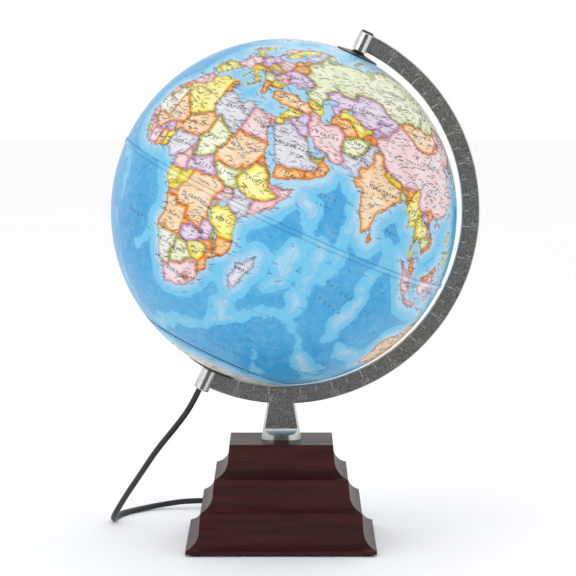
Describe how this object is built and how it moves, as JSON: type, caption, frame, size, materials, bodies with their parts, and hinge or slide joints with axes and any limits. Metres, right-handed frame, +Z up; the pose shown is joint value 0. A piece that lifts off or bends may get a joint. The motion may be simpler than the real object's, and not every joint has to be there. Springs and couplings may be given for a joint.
{
  "type": "desktop globe on stand",
  "caption": "Lit desk globe that spins on a tilted axis in a cast C-shaped arm with a degree scale, bolted to a stepped dark wooden base, with a mains lead, rocker switch and plug.",
  "frame": {"origin": "on the floor, at the centre of the width and depth of the globe and its stand, without the free cord", "axes": "+Z up, the front of the globe faces -Y, and the arm lies in the XZ plane with its closed side towards +X"},
  "size_m": [0.3328, 0.3203, 0.4553],
  "materials": {
    "map_plastic": "satin",
    "seam_plastic": "gloss",
    "black_plastic": "satin",
    "cast_metal": "cast, satin face with polished ends",
    "steel": "satin",
    "brass": "polished",
    "lamp_metal": "satin",
    "lamp_glass": "frosted",
    "dark_wood": "semi gloss lacquer",
    "foot_rubber": "matt",
    "cord_sheath": "satin"
  },
  "bodies": {
    "stand": {"base_bottom_tier": "dark_wood", "base_middle_tier": "dark_wood", "base_top_tier": "dark_wood", "lower_tier_screws": "steel", "upper_tier_screws": "steel", "rubber_feet": "foot_rubber", "clamp_bolt": "steel", "clamp_washer": "steel", "meridian_arm": "cast_metal", "north_pin": "steel", "north_pin_cap": "black_plastic", "lamp_tube": "steel", "south_washer": "black_plastic", "cord_grommet": "black_plastic", "inner_lead": "cord_sheath", "holder_nut": "steel", "holder_cap": "black_plastic", "lampholder": "black_plastic", "socket_sleeve": "brass", "centre_contact": "brass", "bulb_cap": "lamp_metal", "bulb_glass": "lamp_glass", "cord_to_switch": "cord_sheath", "cord_to_coil": "cord_sheath", "cord_coil": "cord_sheath", "cord_to_plug": "cord_sheath", "coil_tie": "black_plastic", "switch_lower_shell": "black_plastic", "switch_upper_shell": "black_plastic", "switch_screws": "steel", "plug_body": "black_plastic", "plug_blades": "brass"},
    "globe": {"north_hemisphere": "map_plastic", "south_hemisphere": "map_plastic", "equator_band": "seam_plastic", "north_hub": "black_plastic", "north_hub_clip": "steel", "south_flange": "black_plastic"},
    "rocker": {"switch_rocker": "black_plastic"}
  },
  "joints": [
    {"name": "globe_spin", "type": "hinge", "parent": "stand", "child": "globe", "pos_m": [-0.01008, 0, 0.2947], "axis": [0.4226, 0, 0.9063], "continuous": true},
    {"name": "switch_rock", "type": "hinge", "parent": "stand", "child": "rocker", "pos_m": [-0.054, 0.155, 0.0105], "axis": [0, 1, 0], "range_deg": [0, 16]}
  ]
}
